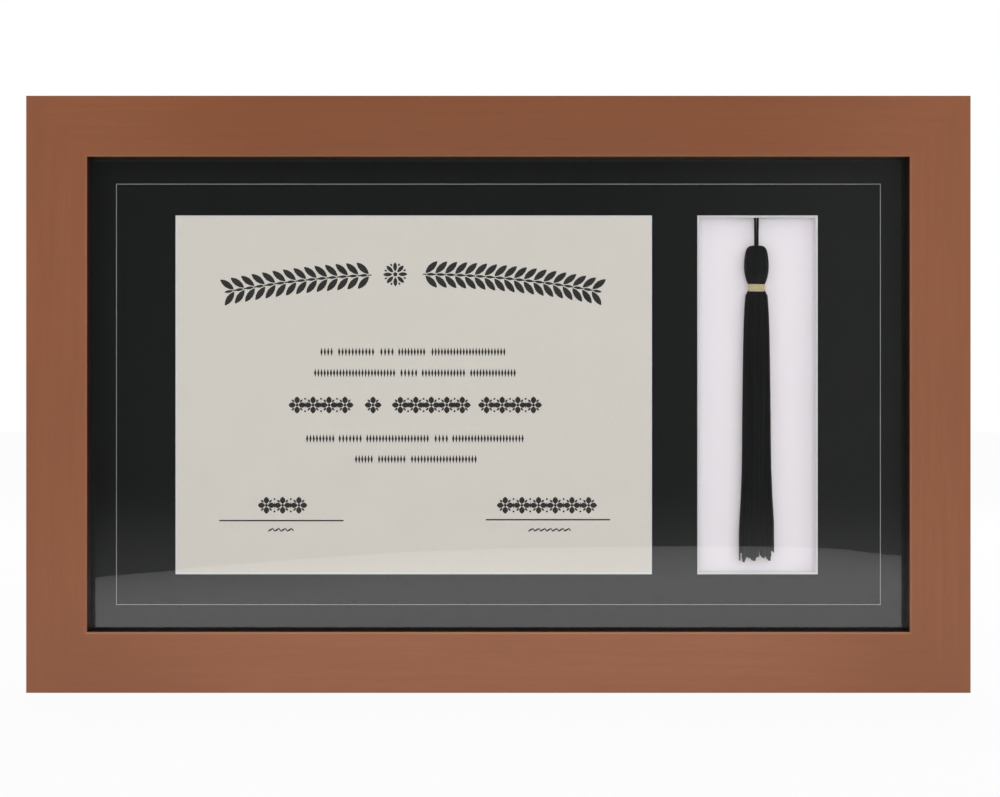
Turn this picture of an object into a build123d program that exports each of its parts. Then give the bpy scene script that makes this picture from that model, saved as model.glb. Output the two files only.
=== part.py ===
"""Certificate frame with a tassel window, as an assembly of separate pieces.

A flat brown moulding is mitred round a pack of sheets: glazing, a black mat with two
windows, the certificate, a foam spacer with a slot for a tassel, a white card and a
back board. The tassel hangs from a headed peg behind the mat and can swing. Turn
buttons hold the back board in, and two strap hangers carry D rings.

+X is to the viewer's right, -Y faces the viewer and +Z is up. The origin is the centre
of the bottom edge, halfway through the depth of the moulding. Lengths in millimetres.
"""

import math
import os

from build123d import *

# Certificate sheet, and how far the mat laps over it
sheet_width = 279.4
sheet_height = 215.9
sheet_lap_side = 4.7
sheet_lap_end = 6.25

# Moulding
rail_face = 34.2
lip_width = 6.0
lip_depth = 11.0
front_arris = 0.9
back_arris = 0.4

# Sheets in the pack, from front to back
glass_thick = 2.0
mat_thick = 1.5
sheet_thick = 0.3
spacer_thick = 8.0
card_thick = 1.2
back_thick = 3.0
back_setback = 0.3
pane_clearance = 1.0
glass_seam = 0.3

# Mat: its borders and windows are given at the black face
border_left = 47.35
border_right = 49.35
border_top = 31.65
border_bottom = 31.05
window_gap = 25.5
tassel_window_width = 68.4
bevel_width = 1.2
groove_inset = 14.0
groove_width = 0.55
groove_floor = 0.1
groove_depth = 0.32

# Slot in the spacer for the tassel, and the notch above it for the peg
slot_margin = 3.0
slot_corner = 4.0
notch_width = 26.0
notch_above_peg = 9.0

# Peg that the tassel's cord hangs on
peg_below_rail = 9.65
peg_foot_radius = 5.5
peg_foot_thick = 0.8
peg_body_radius = 3.0
peg_groove_radius = 2.1
peg_groove_width = 2.0
peg_head_radius = 3.6
peg_head_thick = 0.9

# Tassel: its cord, head, band and skirt
cord_diameter = 1.15
cord_sides = 6
tassel_thick = 8.6
head_width = 14.2
head_height = 21.8
band_width = 9.7
band_depth = 6.9
band_height = 4.7
band_wall = 0.5
band_room = 0.05
skirt_width = 20.5
skirt_above_window_foot = 6.4
fringe_length = 7.0
strands_round = 18

# Route of the cord, as places to the right of and above the peg's axis: up from the
# head, apart, over the peg's groove and down again
cord_route = [
    (-0.62, -38.65),
    (-0.62, -14.0),
    (-2.95, 0.97),
    (-1.3, 2.78),
    (1.3, 2.78),
    (2.95, 0.97),
    (0.62, -14.0),
    (0.62, -38.65),
]

# Form of the head and of the skirt: how far down, how wide and how thick
head_form_shares = (
    (0.0, 0.61, 0.61),
    (0.09, 0.80, 0.80),
    (0.28, 0.95, 0.95),
    (0.58, 1.0, 1.0),
    (0.84, 0.87, 0.87),
    (1.0, 0.66, 0.66),
)
skirt_form_shares = (
    (0.0, 0.47, 0.78),
    (0.03, 0.61, 0.88),
    (0.14, 0.72, 0.96),
    (0.47, 0.80, 1.0),
    (0.82, 0.89, 1.0),
    (1.0, 1.0, 1.0),
)
flute_share = 0.06
fringe_tip_shares = (0.7, 0.2, 0.45, 0.0, 0.3, 0.1, 0.5, 0.05, 0.35, 0.6)

# Mitre nails
nail_wing = 6.0
nail_spread = 3.0
nail_sheet = 0.7
nail_depth = 10.0
nail_place_shares = (0.36, 0.72)

# Turn buttons
button_thick = 1.0
button_gap = 0.1
button_head_gap = 0.15
button_bore_room = 0.1
button_base_radius = 6.0
button_nose_radius = 3.2
button_reach = 15.5
button_pivot_inset = 9.0
button_from_side = 94.5
rib_width = 2.4
rib_height = 0.6
rib_margin = 1.2
rib_slope = 30

# Pan head screws of the turn buttons and the hangers, many-sided to keep them light
screw_radius = 1.6
shank_sides = 10
head_sides = 16
screw_length = 12.0
screw_point = 3.0
screw_head_radius = 3.1
screw_head_height = 1.7
screw_head_rim = 0.6
screw_head_flat = 2.1
pilot_room = 0.05

# Strap hangers and D rings
strap_sheet = 0.9
strap_width = 11.0
strap_slope = 2.0
strap_below_top = 72.0
strap_hole_room = 0.15
strap_first_screw = 20.5
strap_screw_pitch = 12.0
ring_wire_radius = 1.25
wire_sides = 12
steps_per_quarter = 6
ring_room = 0.1
ring_width = 17.5
ring_height = 15.5
ring_corner = 2.8
ring_rest_tilt = 5.0

# Bumper pads
bumper_radius = 5.0
bumper_thick = 3.0
bumper_edge = 1.0
bumper_inset = 50.0

# One overrun for every cut that passes through a piece
overrun = 1.0

# Places through the depth
rail_depth = (
    lip_depth
    + glass_thick
    + mat_thick
    + sheet_thick
    + spacer_thick
    + card_thick
    + back_thick
    + back_setback
)
y_front = -rail_depth / 2
y_back = rail_depth / 2
y_glass = y_front + lip_depth
y_mat = y_glass + glass_thick
y_sheet = y_mat + mat_thick
y_spacer = y_sheet + sheet_thick
y_card = y_spacer + spacer_thick
y_board = y_card + card_thick
y_tassel = (y_mat + y_card) / 2

# Places across the frame: the sheet sets the windows, the borders and the rails go round
certificate_window_width = sheet_width - 2 * sheet_lap_side
window_height = sheet_height - 2 * sheet_lap_end
windows_width = certificate_window_width + window_gap + tassel_window_width
sight_width = border_left + windows_width + border_right
sight_height = border_bottom + window_height + border_top
frame_width = sight_width + 2 * rail_face
frame_height = sight_height + 2 * rail_face
middle_z = frame_height / 2
pane_width = sight_width + 2 * (lip_width - pane_clearance)
pane_height = sight_height + 2 * (lip_width - pane_clearance)
certificate_x = border_left + (certificate_window_width - sight_width) / 2
tassel_x = (sight_width - tassel_window_width) / 2 - border_right
windows_z = rail_face + border_bottom + window_height / 2
window_foot = windows_z - window_height / 2
window_top = windows_z + window_height / 2
peg_z = window_top + border_top - peg_below_rail

# The tassel hangs from the peg by its cord and ends just above the foot of its window
head_top = peg_z + cord_route[0][1]
head_foot = head_top - head_height
band_foot = head_foot - band_height
skirt_foot = window_foot + skirt_above_window_foot
skirt_length = band_foot - skirt_foot

# Places on the back
back_rail_width = rail_face - lip_width
strap_thick = 2 * strap_sheet
eye_radius = ring_wire_radius + ring_room + strap_sheet

parts = []


def keep(piece, name):
    """Label a finished piece and list it for export."""
    piece.part.label = name
    parts.append(piece.part)


def across(y):
    """Plane across the frame at one depth: a positive extrusion comes to the front."""
    return Plane(origin=(0, y, 0), x_dir=(1, 0, 0), z_dir=(0, -1, 0))


def on_back(x, z, height=0, x_dir=(1, 0, 0)):
    """Plane at a place on the back of the moulding, facing the wall."""
    return Plane(origin=(x, y_back + height, z), x_dir=x_dir, z_dir=(0, 1, 0))


# Turn button screws by rail: name of the button, place of its screw, way to the boards
screw_inset = back_rail_width - button_pivot_inset
outer_button_x = frame_width / 2 - button_from_side
button_places = {}
for rail, level in (("top", 1), ("bottom", -1)):
    screw_z = middle_z + level * (frame_height / 2 - screw_inset)
    button_places[rail] = [
        (f"{rail}_{column}", (step * outer_button_x, screw_z), (0, 0, -level))
        for column, step in (("left", -1), ("middle", 0), ("right", 1))
    ]
for rail, side in (("left", -1), ("right", 1)):
    screw_x = side * (frame_width / 2 - screw_inset)
    button_places[rail] = [(f"side_{rail}", (screw_x, middle_z), (-side, 0, 0))]

# Hangers: axis of the D ring, then the two screws below it on the same line
hanger_z = frame_height - strap_below_top
hanger_x = {"left": back_rail_width / 2 - frame_width / 2, "right": frame_width / 2 - back_rail_width / 2}
last_screw_drop = strap_first_screw + strap_screw_pitch
hanger_drops = (strap_first_screw, last_screw_drop)


# Mitre nails: bent steel V's, two across each joint, driven flush from the back
with BuildPart() as v_nails:
    for side, level in ((-1, -1), (1, -1), (1, 1), (-1, 1)):
        for share in nail_place_shares:
            reach = share * back_rail_width
            apex_x = side * (frame_width / 2 - reach)
            apex_z = middle_z + level * (frame_height / 2 - reach)
            with BuildSketch(on_back(apex_x, apex_z, x_dir=(side, 0, level))):
                with BuildLine():
                    Polyline(
                        (0, 0),
                        (nail_wing, nail_spread),
                        (nail_wing + nail_sheet, nail_spread),
                        (nail_sheet, 0),
                        (nail_wing + nail_sheet, -nail_spread),
                        (nail_wing, -nail_spread),
                        close=True,
                    )
                make_face()
            extrude(amount=-nail_depth)
keep(v_nails, "v_nails")


def moulding_rail(section_plane, length, kept_side, mitres, screws):
    """One length of the moulding, mitred at both ends, with its nail and pilot holes."""
    with BuildPart() as rail:
        with BuildSketch(section_plane):
            with BuildLine():
                Polyline(
                    (0, 0),
                    (rail_face, 0),
                    (rail_face, lip_depth),
                    (back_rail_width, lip_depth),
                    (back_rail_width, rail_depth),
                    (0, rail_depth),
                    close=True,
                )
            section = make_face()
            rows = section.vertices().group_by(Axis.Y)
            fillet(rows[0], radius=front_arris)
            fillet(rows[-1].sort_by(Axis.X)[0], radius=back_arris)
        extrude(amount=length / 2, both=True)
        for mitre in mitres:
            split(bisect_by=mitre, keep=kept_side)
        add(v_nails.part, mode=Mode.SUBTRACT)
        for x, z in screws:
            with BuildSketch(on_back(x, z)):
                RegularPolygon(screw_radius + pilot_room, side_count=shank_sides)
        extrude(amount=-screw_length, mode=Mode.SUBTRACT)
    return rail


def mitre_at(side, level):
    """Plane of the mitre at one corner, facing the side rail that meets there."""
    return Plane(
        origin=(side * frame_width / 2, 0, middle_z + level * frame_height / 2),
        z_dir=(side, 0, -level),
    )


# Moulding: hardwood rails with a rabbet behind the lip, stained brown
for rail, level in (("top", 1), ("bottom", -1)):
    outer = (0, y_front, middle_z + level * frame_height / 2)
    section_plane = Plane(origin=outer, x_dir=(0, 0, -level), z_dir=(level, 0, 0))
    mitres = [mitre_at(side, level) for side in (-1, 1)]
    screws = [place for _, place, _ in button_places[rail]]
    keep(moulding_rail(section_plane, frame_width, Keep.BOTTOM, mitres, screws), f"rail_{rail}")
for rail, side in (("left", -1), ("right", 1)):
    outer = (side * frame_width / 2, y_front, middle_z)
    section_plane = Plane(origin=outer, x_dir=(-side, 0, 0), z_dir=(0, 0, -side))
    mitres = [mitre_at(side, level) for level in (-1, 1)]
    screws = [place for _, place, _ in button_places[rail]]
    screws += [(hanger_x[rail], hanger_z - drop) for drop in hanger_drops]
    keep(moulding_rail(section_plane, frame_height, Keep.TOP, mitres, screws), f"rail_{rail}")


# Glazing: a clear pane with seamed edges
with BuildPart() as glass_pane:
    with BuildSketch(across(y_glass)):
        with Locations((0, middle_z)):
            Rectangle(pane_width, pane_height)
    extrude(amount=-glass_thick)
    pane_faces = glass_pane.faces().sort_by(Axis.Y)
    chamfer(pane_faces[0].edges() + pane_faces[-1].edges(), length=glass_seam)
keep(glass_pane, "glass_pane")


# Mat: black-faced board with a white core, bevelled windows and a V groove
with BuildPart() as mat_board:
    with BuildSketch(across(y_mat)):
        with Locations((0, middle_z)):
            Rectangle(pane_width, pane_height)
    extrude(amount=-mat_thick)
    with BuildSketch(across(y_mat)):
        with Locations((certificate_x, windows_z)):
            Rectangle(certificate_window_width, window_height)
        with Locations((tassel_x, windows_z)):
            Rectangle(tassel_window_width, window_height)
    bevel_angle = math.degrees(math.atan2(bevel_width, mat_thick))
    extrude(amount=-mat_thick, taper=bevel_angle, mode=Mode.SUBTRACT)
    groove_long = sight_width - 2 * groove_inset
    groove_tall = sight_height - 2 * groove_inset
    with BuildSketch(across(y_mat)):
        with Locations((0, middle_z)):
            Rectangle(groove_long + groove_width, groove_tall + groove_width)
            Rectangle(groove_long - groove_width, groove_tall - groove_width, mode=Mode.SUBTRACT)
    groove_angle = math.degrees(math.atan2((groove_width - groove_floor) / 2, groove_depth))
    extrude(amount=-groove_depth, taper=groove_angle, mode=Mode.SUBTRACT)
keep(mat_board, "mat_board")


# Certificate: one sheet of heavy paper, wider and taller than its window
with BuildPart() as certificate_sheet:
    with BuildSketch(across(y_sheet)):
        with Locations((certificate_x, windows_z)):
            Rectangle(sheet_width, sheet_height)
    extrude(amount=-sheet_thick)
keep(certificate_sheet, "certificate_sheet")


# Spacer: foam board, with the slot that the tassel hangs in and a notch for the peg
with BuildPart() as spacer_board:
    with BuildSketch(across(y_spacer)):
        with Locations((0, middle_z)):
            Rectangle(pane_width, pane_height)
        with Locations((tassel_x, windows_z)):
            RectangleRounded(
                tassel_window_width + 2 * slot_margin,
                window_height + 2 * slot_margin,
                slot_corner,
                mode=Mode.SUBTRACT,
            )
        notch_height = peg_z + notch_above_peg - window_top
        with Locations((tassel_x, window_top)):
            Rectangle(notch_width, notch_height, align=(Align.CENTER, Align.MIN), mode=Mode.SUBTRACT)
    extrude(amount=-spacer_thick)
keep(spacer_board, "spacer_board")


# Mount card: the white board that shows behind the tassel
with BuildPart() as mount_card:
    with BuildSketch(across(y_card)):
        with Locations((0, middle_z)):
            Rectangle(pane_width, pane_height)
    extrude(amount=-card_thick)
keep(mount_card, "mount_card")


# Back board: hardboard, just below the back of the moulding
with BuildPart() as back_board:
    with BuildSketch(across(y_board)):
        with Locations((0, middle_z)):
            Rectangle(pane_width, pane_height)
    extrude(amount=-back_thick)
keep(back_board, "back_board")


# Peg: a turned stud with a foot on the card, a groove for the cord and a head
groove_middle = y_card - y_tassel
with BuildPart() as tassel_peg:
    peg_plane = Plane(origin=(tassel_x, y_card, peg_z), x_dir=(1, 0, 0), z_dir=(0, 0, 1))
    with BuildSketch(peg_plane):
        with BuildLine():
            Polyline(
                (0, 0),
                (peg_foot_radius, 0),
                (peg_foot_radius, -peg_foot_thick),
                (peg_body_radius, -peg_foot_thick),
                (peg_body_radius, peg_groove_width / 2 - groove_middle),
                (peg_groove_radius, peg_groove_width / 2 - groove_middle),
                (peg_groove_radius, -peg_groove_width / 2 - groove_middle),
                (peg_head_radius, -peg_groove_width / 2 - groove_middle),
                (peg_head_radius, -peg_groove_width / 2 - groove_middle - peg_head_thick),
                (0, -peg_groove_width / 2 - groove_middle - peg_head_thick),
                close=True,
            )
        make_face()
    revolve(axis=Axis((tassel_x, 0, peg_z), (0, 1, 0)))
keep(tassel_peg, "tassel_peg")


def arc_radii(points):
    """Radius of the arc at each corner of a cord's route."""
    places = [Vector(*point) for point in points]
    radii = []
    for before, corner, after in zip(places, places[1:], places[2:]):
        run_in = corner - before
        run_out = after - corner
        half_turn = math.radians(run_in.get_angle(run_out)) / 2
        radii.append(0.45 * min(run_in.length, run_out.length) / math.tan(half_turn))
    return radii


# Tassel cord: one twisted cord, doubled over the peg, both ends bound into the head
with BuildPart() as tassel_cord:
    cord_plane = Plane(origin=(tassel_x, y_tassel, peg_z), x_dir=(1, 0, 0), z_dir=(0, -1, 0))
    cord_radii = arc_radii(cord_route)
    with BuildLine(cord_plane) as cord_path:
        FilletPolyline(*cord_route, radius=cord_radii)
    with BuildSketch(Plane(origin=cord_path.line @ 0, z_dir=cord_path.line % 0)):
        section = RegularPolygon(cord_diameter / 2, side_count=cord_sides)
    sweep(path=cord_path.line)
keep(tassel_cord, "tassel_cord")
cord_length = cord_path.wire().length
tube_volume = section.area * cord_length
print("cord radii", [round(radius, 2) for radius in cord_radii])
print("cord length", round(cord_length, 1))
print("cord volume over section times length", round(tassel_cord.part.volume / tube_volume, 4))


def strand_outline(z, width, depth):
    """Outline of a bundle of strands at one height: an oval with a flute between strands."""
    plane = Plane(origin=(tassel_x, y_tassel, z), x_dir=(1, 0, 0), z_dir=(0, 0, 1))
    outline = []
    for step in range(2 * strands_round):
        turn = math.pi * step / strands_round
        reach = (1 - flute_share * (step % 2)) / 2
        outline.append((reach * width * math.cos(turn), reach * depth * math.sin(turn)))
    with BuildSketch(plane) as bundle:
        with BuildLine():
            Polyline(*outline, close=True)
        make_face()
    return bundle.sketch


# Tassel head: strands turned down over the cord, fullest a little below the middle
with BuildPart() as tassel_head:
    head_sections = [
        strand_outline(head_top - down * head_height, wide * head_width, thick * tassel_thick)
        for down, wide, thick in head_form_shares
    ]
    loft(sections=head_sections, ruled=True)
keep(tassel_head, "tassel_head")


# Tassel skirt: the strands below the head, with the neck that the band is wound on
with BuildPart() as tassel_skirt:
    skirt_sections = [
        strand_outline(band_foot - down * skirt_length, wide * skirt_width, thick * tassel_thick)
        for down, wide, thick in skirt_form_shares
    ]
    loft(sections=skirt_sections, ruled=True)
    neck_plane = Plane(origin=(tassel_x, y_tassel, band_foot), x_dir=(1, 0, 0), z_dir=(0, 0, 1))
    with BuildSketch(neck_plane):
        Ellipse(band_width / 2 - band_wall - band_room, band_depth / 2 - band_wall - band_room)
    extrude(amount=band_height)
    tip_width = skirt_width / len(fringe_tip_shares)
    fringe = [(-skirt_width / 2 - overrun, -overrun), (-skirt_width / 2 - overrun, fringe_length)]
    for step, share in enumerate(fringe_tip_shares):
        tip_x = -skirt_width / 2 + (step + 1 / 2) * tip_width
        fringe.append((tip_x - tip_width / 2, fringe_length))
        fringe.append((tip_x, share * fringe_length))
    fringe += [(skirt_width / 2, fringe_length), (skirt_width / 2 + overrun, fringe_length)]
    fringe.append((skirt_width / 2 + overrun, -overrun))
    fringe_plane = Plane(origin=(tassel_x, y_tassel, skirt_foot), x_dir=(1, 0, 0), z_dir=(0, -1, 0))
    with BuildSketch(fringe_plane):
        with BuildLine():
            Polyline(*fringe, close=True)
        make_face()
    extrude(amount=tassel_thick / 2 + overrun, both=True, mode=Mode.SUBTRACT)
keep(tassel_skirt, "tassel_skirt")


# Band: gold thread wound round the neck
with BuildPart() as tassel_band:
    with BuildSketch(neck_plane):
        Ellipse(band_width / 2, band_depth / 2)
        Ellipse(band_width / 2 - band_wall, band_depth / 2 - band_wall, mode=Mode.SUBTRACT)
    extrude(amount=band_height)
keep(tassel_band, "tassel_band")


# Pan head screw, seated at the origin with its point down
with BuildPart() as screw:
    with BuildSketch(Plane.XY):
        RegularPolygon(screw_radius, side_count=shank_sides)
    extrude(amount=screw_point - screw_length)
    with BuildSketch(Plane.XY.offset(screw_point - screw_length)) as shank_end:
        RegularPolygon(screw_radius, side_count=shank_sides)
    loft(sections=[shank_end.sketch.face(), Vertex(0, 0, -screw_length)], ruled=True)
    with BuildSketch(Plane.XY):
        RegularPolygon(screw_head_radius, side_count=head_sides)
    extrude(amount=screw_head_rim)
    with BuildSketch(Plane.XY.offset(screw_head_rim)) as head_rim:
        RegularPolygon(screw_head_radius, side_count=head_sides)
    with BuildSketch(Plane.XY.offset(screw_head_height)) as head_flat:
        RegularPolygon(screw_head_flat, side_count=head_sides)
    loft(sections=[head_rim.sketch.face(), head_flat.sketch.face()], ruled=True)


def screw_group(places, seat):
    """Like screws in one node, with their heads at one height above the moulding."""
    with BuildPart() as group:
        with Locations(*[on_back(x, z, height=seat) for x, z in places]):
            add(screw.part)
    return group


# Screws of the turn buttons: the head stands clear of the button so that it turns
button_screw_places = [place for row in button_places.values() for _, place, _ in row]
button_seat = button_gap + button_thick + button_head_gap
keep(screw_group(button_screw_places, button_seat), "turn_button_screws")

# Screws of the hangers, driven down on the strap
hanger_screw_places = [(x, hanger_z - drop) for x in hanger_x.values() for drop in hanger_drops]
keep(screw_group(hanger_screw_places, strap_thick), "hanger_screws")


def turn_button(x, z, way_in):
    """Stamped steel button with a stiffening rib, turned in over the back board."""
    with BuildPart() as button:
        with BuildSketch(on_back(x, z, height=button_gap, x_dir=way_in)):
            Circle(button_base_radius)
            with Locations((button_reach, 0)):
                Circle(button_nose_radius)
            make_hull()
        extrude(amount=button_thick)
        rib_start = screw_head_radius + rib_margin
        with BuildSketch(on_back(x, z, height=button_gap + button_thick, x_dir=way_in)):
            with Locations(((rib_start + button_reach) / 2, 0)):
                Rectangle(button_reach - rib_start, rib_width)
        extrude(amount=rib_height, taper=rib_slope)
        with Locations(on_back(x, z, height=button_gap + button_thick)):
            Hole(radius=screw_radius + button_bore_room, depth=button_thick)
    return button


for row in button_places.values():
    for name, (x, z), way_in in row:
        keep(turn_button(x, z, way_in), f"turn_button_{name}")


def hanger_strap(x):
    """Steel strip folded back on itself round the ring, with a rounded foot."""
    with BuildPart() as strap:
        side_plane = Plane(origin=(x, y_back, hanger_z), x_dir=(0, 1, 0), z_dir=(1, 0, 0))
        with BuildSketch(side_plane):
            with Locations((eye_radius, 0)):
                Circle(eye_radius)
            with BuildLine():
                Polyline(
                    (0, 0),
                    (2 * eye_radius, 0),
                    (strap_thick, -eye_radius - strap_slope),
                    (strap_thick, -last_screw_drop - strap_width / 2),
                    (0, -last_screw_drop - strap_width / 2),
                    close=True,
                )
            make_face()
            with Locations((eye_radius, 0)):
                Circle(ring_wire_radius + ring_room, mode=Mode.SUBTRACT)
        extrude(amount=strap_width / 2, both=True)
        foot = strap.edges().filter_by(Axis.Y).group_by(Axis.Z)[0]
        fillet(foot, radius=strap_width / 2 - back_arris)
        for drop in hanger_drops:
            with BuildSketch(on_back(x, hanger_z - drop)):
                RegularPolygon(screw_radius + strap_hole_room, side_count=shank_sides)
        extrude(amount=strap_thick, mode=Mode.SUBTRACT)
    return strap


def bend(centre_x, centre_y, radius, first, quarters):
    """Points of an arc in short straight steps, its angles given in quarter turns."""
    points = []
    for step in range(quarters * steps_per_quarter + 1):
        angle = (first + step / steps_per_quarter) * math.pi / 2
        points.append((centre_x + radius * math.cos(angle), centre_y + radius * math.sin(angle)))
    return points


def hanger_ring(x):
    """Steel wire bent to a D, its straight side through the strap, hanging at rest."""
    tilt = math.radians(ring_rest_tilt)
    ring_plane = Plane(
        origin=(x, y_back + eye_radius, hanger_z),
        x_dir=(1, 0, 0),
        z_dir=(0, math.cos(tilt), math.sin(tilt)),
    )
    half = ring_width / 2
    outline = [(0, 0)]
    outline += bend(half - ring_corner, ring_corner, ring_corner, -1, 1)
    outline += bend(0, ring_height - half, half, 0, 2)
    outline += bend(ring_corner - half, ring_corner, ring_corner, 2, 1)
    outline.append((0, 0))
    with BuildPart() as ring:
        with BuildLine(ring_plane) as wire:
            Polyline(*outline)
        with BuildSketch(Plane(origin=ring_plane.origin, z_dir=(1, 0, 0))):
            RegularPolygon(ring_wire_radius, side_count=wire_sides)
        sweep(path=wire.wire(), transition=Transition.RIGHT)
    return ring


for side, x in hanger_x.items():
    keep(hanger_strap(x), f"hanger_strap_{side}")
    keep(hanger_ring(x), f"hanger_ring_{side}")


# Bumpers: two soft pads that keep the foot of the frame off the wall
with BuildPart() as wall_bumpers:
    bumper_x = frame_width / 2 - bumper_inset
    for side in (-1, 1):
        with BuildSketch(on_back(side * bumper_x, back_rail_width / 2)):
            Circle(bumper_radius)
    extrude(amount=bumper_thick)
    chamfer(wall_bumpers.edges().group_by(Axis.Y)[-1], length=bumper_edge)
keep(wall_bumpers, "wall_bumpers")


os.makedirs("parts", exist_ok=True)
for part in parts:
    export_step(part, f"parts/{part.label}.step")
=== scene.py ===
"""Certificate frame with a tassel window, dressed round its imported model.

The file follows the frame as it is put together: the tassel with its cord and peg, the
moulding, the glazing, the mat, the certificate and its printing, the backing, and the
hardware on the back, with the studio last. Lengths are in metres, with +Z up and the
viewer on the -Y side.
"""

import math

import bmesh
import bpy
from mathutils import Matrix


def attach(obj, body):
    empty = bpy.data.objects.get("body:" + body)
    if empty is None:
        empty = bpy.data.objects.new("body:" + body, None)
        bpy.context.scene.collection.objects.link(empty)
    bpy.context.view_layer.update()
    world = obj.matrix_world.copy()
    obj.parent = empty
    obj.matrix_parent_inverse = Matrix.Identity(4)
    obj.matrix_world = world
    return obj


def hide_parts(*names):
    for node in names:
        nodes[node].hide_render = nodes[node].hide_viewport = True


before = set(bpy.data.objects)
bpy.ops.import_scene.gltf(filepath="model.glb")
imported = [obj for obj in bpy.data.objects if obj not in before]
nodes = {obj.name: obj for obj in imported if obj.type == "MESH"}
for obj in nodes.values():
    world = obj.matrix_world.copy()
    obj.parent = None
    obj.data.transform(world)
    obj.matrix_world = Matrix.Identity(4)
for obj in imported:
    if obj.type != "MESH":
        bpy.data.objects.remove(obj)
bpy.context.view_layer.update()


# Camera: about a metre in front of the glass, level, a little below the middle of the
# frame, with the outline of the frame nearly filling the picture.
eye_x, eye_y, eye_z = 0.0009, -1.06365, 0.1649


def stand(name, data):
    """Put an object with its data into the scene."""
    thing = bpy.data.objects.new(name, data)
    bpy.context.collection.objects.link(thing)
    return thing


camera = stand("camera", bpy.data.cameras.new("camera"))
camera.data.sensor_width = 36
camera.data.lens = 67.54
camera.location = (eye_x, eye_y, eye_z)
camera.rotation_euler = (math.pi / 2, 0, 0)
bpy.context.scene.camera = camera


# Tassel cord: three plies of black rayon yarn laid up into one cord. It leaves the head,
# goes over the groove of a peg hidden behind the mat and comes back beside itself, pulled
# straight by the weight of the tassel.
peg_x, peg_y, peg_z = 0.14675, 0.00425, 0.29065
cord_diameter = 0.00115
cord_plies = 3
cord_lay = 0.0042

# Places along the cord, to the right of the peg's axis and above it
cord_route = [
    (-0.00062, -0.03865),
    (-0.00062, -0.0140),
    (-0.00295, 0.00097),
    (-0.0013, 0.00278),
    (0.0013, 0.00278),
    (0.00295, 0.00097),
    (0.00062, -0.0140),
    (0.00062, -0.03865),
]


def colour(red, green, blue):
    """Linear colour of a paint given in the 0 to 255 steps of a colour chart."""
    linear = []
    for step in (red, green, blue):
        share = step / 255
        linear.append(share / 12.92 if share <= 0.04045 else ((share + 0.055) / 1.055) ** 2.4)
    return (*linear, 1)


def put(tree, kind, inputs=None, **settings):
    """Add one node with its settings; an input is a plain value or another node's output."""
    node = tree.nodes.new(kind)
    for name, value in settings.items():
        setattr(node, name, value)
    for name, value in (inputs or {}).items():
        if isinstance(value, bpy.types.NodeSocket):
            tree.links.new(value, node.inputs[name])
        else:
            node.inputs[name].default_value = value
    return node


def sum_of(tree, operation, *values):
    """Output of one Math node."""
    return put(tree, "ShaderNodeMath", dict(enumerate(values)), operation=operation).outputs[0]


def vector_of(tree, operation, first, second):
    """Output of one Vector Math node; a SCALE takes a plain number second."""
    inputs = {0: first, "Scale" if operation == "SCALE" else 1: second}
    return put(tree, "ShaderNodeVectorMath", inputs, operation=operation).outputs[0]


def mixed(tree, factor, first, second, blend="MIX"):
    """Two colours mixed by a share."""
    colours = {0: factor, 6: first, 7: second}
    return put(tree, "ShaderNodeMix", colours, data_type="RGBA", blend_type=blend).outputs[2]


def own_place(tree):
    """Place on the piece itself."""
    return put(tree, "ShaderNodeTexCoord").outputs["Object"]


def noise(tree, place, scale, detail=2.0, **more):
    """Share read from noise at a place: its marks to the metre, and how fine it goes."""
    inputs = {"Vector": place, "Scale": scale, "Detail": detail, **more}
    return put(tree, "ShaderNodeTexNoise", inputs).outputs["Fac"]


def new_finish(name, **plain):
    """A material with one Principled shader, its plain sockets set, for one finish."""
    material = bpy.data.materials.new(name)
    material.use_nodes = True
    shader = material.node_tree.nodes["Principled BSDF"]
    for socket, value in plain.items():
        shader.inputs[socket.replace("_", " ")].default_value = value
    return material, material.node_tree, shader


def lead(tree, shader, paint, rough, height=None, strength=0.0, depth=0.0):
    """Lead a finish's colour, roughness and relief to its shader."""
    ends = {"Base Color": paint, "Roughness": rough}
    if height:
        bump = put(tree, "ShaderNodeBump", {"Height": height, "Strength": strength, "Distance": depth})
        ends["Normal"] = bump.outputs["Normal"]
    for socket, value in ends.items():
        tree.links.new(value, shader.inputs[socket])


def add_inputs(tree, inputs):
    """Named inputs of a tree, each of its value's own kind, where None stands for an object."""
    for label, value in inputs.items():
        if value is None:
            kind = "Object"
        elif isinstance(value, tuple):
            kind = "Color" if len(value) == 4 else "Vector"
        else:
            kind = "Int" if isinstance(value, int) else "Float"
        name = label.replace("_", " ")
        socket = tree.interface.new_socket(name, in_out="INPUT", socket_type="NodeSocket" + kind)
        if value is not None:
            socket.default_value = value


def new_growth(name, **inputs):
    """A geometry tree with named inputs."""
    tree = bpy.data.node_groups.new(name, "GeometryNodeTree")
    for way in ("INPUT", "OUTPUT"):
        tree.interface.new_socket("Geometry", in_out=way, socket_type="NodeSocketGeometry")
    add_inputs(tree, inputs)
    return tree, tree.nodes.new("NodeGroupInput").outputs


def end_growth(tree, geometry, material, smooth=True):
    """Close a geometry tree: real copies, smooth shading where asked, and the material."""
    real = put(tree, "GeometryNodeRealizeInstances", {"Geometry": geometry}).outputs[0]
    if smooth:
        real = put(tree, "GeometryNodeSetShadeSmooth", {0: real}).outputs[0]
    painted = put(tree, "GeometryNodeSetMaterial", {"Geometry": real, "Material": material})
    put(tree, "NodeGroupOutput", {"Geometry": painted.outputs[0]})
    return tree


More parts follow.
